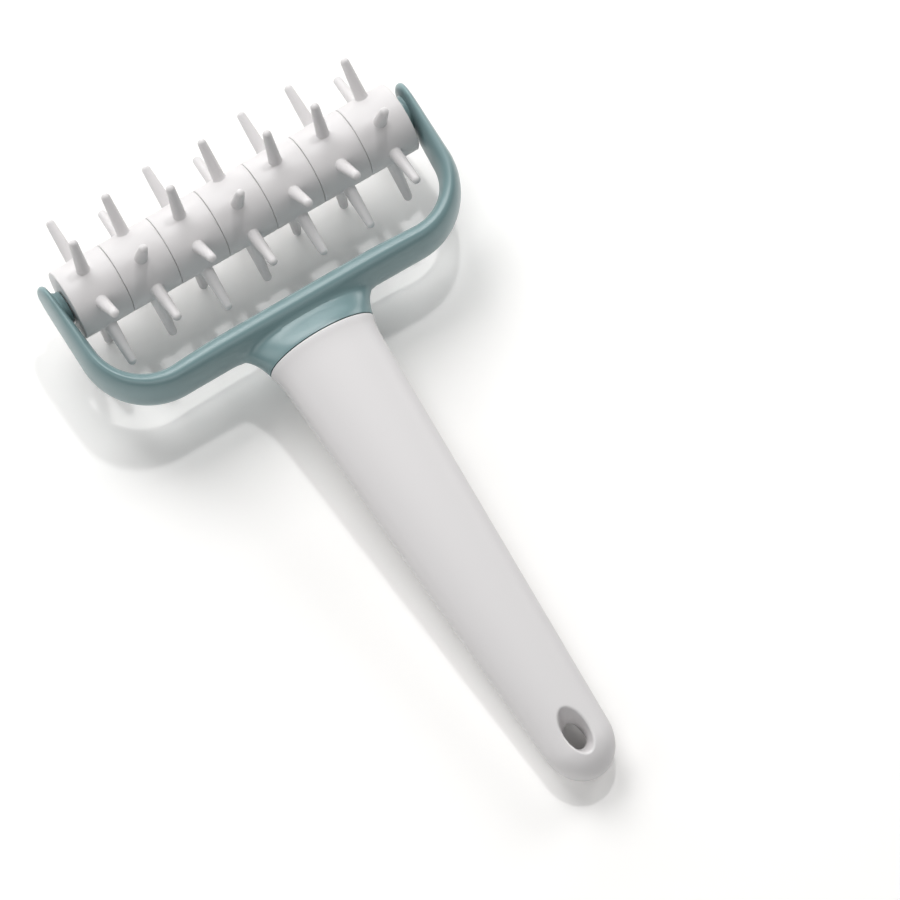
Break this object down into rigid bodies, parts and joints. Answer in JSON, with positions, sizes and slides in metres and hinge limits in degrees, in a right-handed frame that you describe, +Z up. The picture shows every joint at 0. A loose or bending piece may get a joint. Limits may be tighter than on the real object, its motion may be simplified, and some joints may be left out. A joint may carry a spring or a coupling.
{
  "type": "dough docker",
  "caption": "Dough docker: a free-spinning roller of spiked rings held in a U-shaped yoke on a tapered handle with an oval hanging hole.",
  "frame": {"origin": "middle of the footprint, on the worktop that the object lies on", "axes": "+X along the roller, -Y towards the end of the handle, +Z up from the worktop"},
  "size_m": [0.115, 0.205, 0.0438],
  "materials": {
    "teal_plastic": "satin pale blue-green moulded plastic",
    "white_plastic": "satin warm white moulded plastic",
    "roller_plastic": "satin white moulded plastic"
  },
  "bodies": {
    "frame": {"yoke": "teal_plastic", "handle": "white_plastic"},
    "roller": {"spindle": "roller_plastic", "ring_1": "roller_plastic", "ring_2": "roller_plastic", "ring_3": "roller_plastic", "ring_4": "roller_plastic", "ring_5": "roller_plastic", "ring_6": "roller_plastic", "ring_7": "roller_plastic"}
  },
  "joints": [
    {"name": "roller_spin", "type": "hinge", "parent": "frame", "child": "roller", "pos_m": [0, 0.08058, 0.02192], "axis": [1, 0, 0], "continuous": true}
  ]
}
